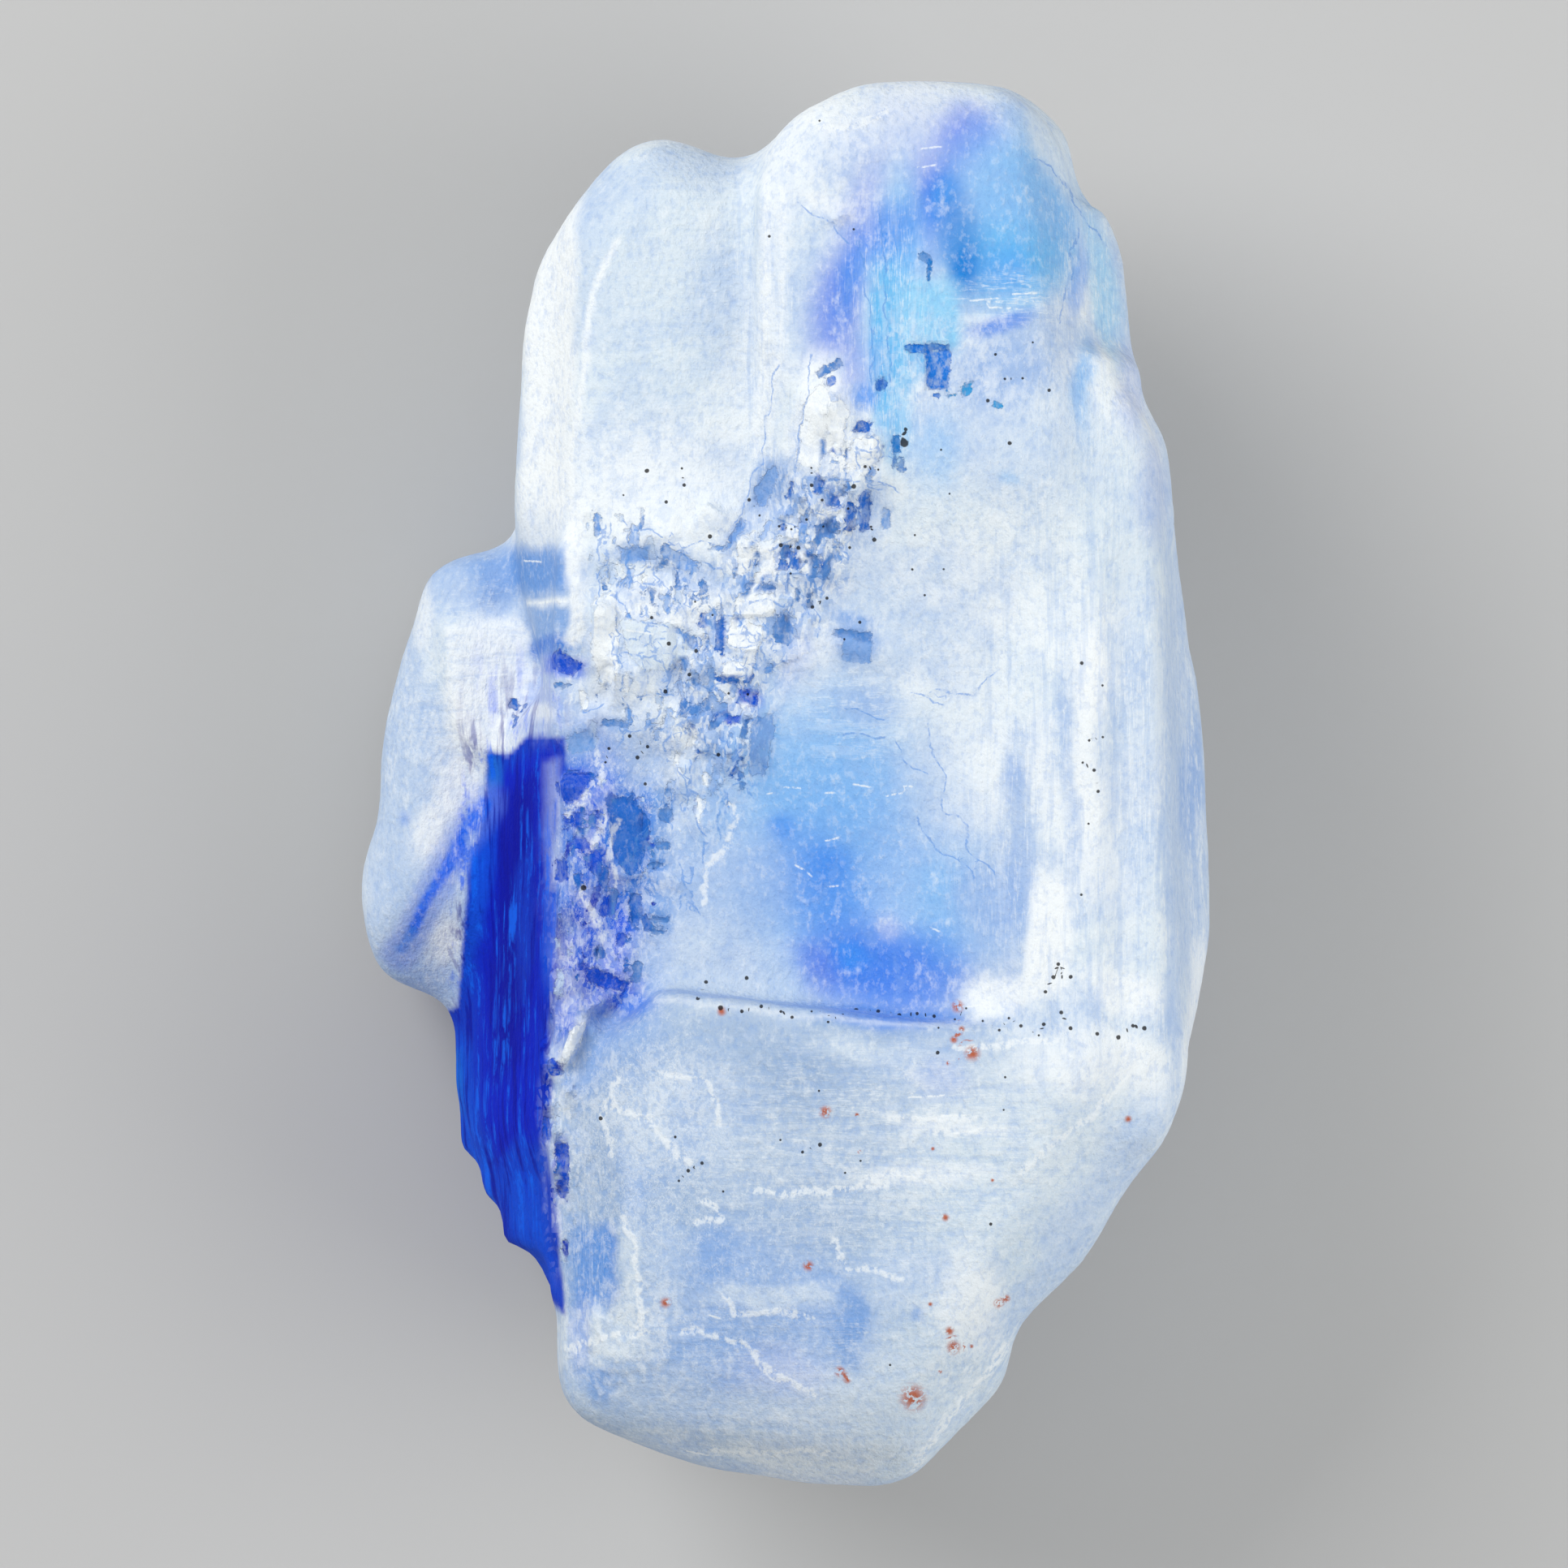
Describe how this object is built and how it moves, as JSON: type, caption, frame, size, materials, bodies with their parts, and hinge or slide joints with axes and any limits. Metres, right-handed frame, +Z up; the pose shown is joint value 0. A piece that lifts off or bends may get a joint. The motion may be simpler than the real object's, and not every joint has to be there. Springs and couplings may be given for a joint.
{
  "type": "blue halite specimen",
  "caption": "Cleaved chunk of milky blue rock salt with a deep blue rib and blocky broken steps, lying on a flat cleavage face.",
  "frame": {"origin": "on the flat resting face, under the middle of the specimen's outline", "axes": "+Y along the specimen towards its two-lobed end, +X across it to the right as seen from above, +Z up to the face that shows"},
  "size_m": [0.0318, 0.0518, 0.0218],
  "materials": {
    "frosted_blue_halite": "frosted"
  },
  "bodies": {
    "root": {"halite": "frosted_blue_halite"}
  },
  "joints": []
}
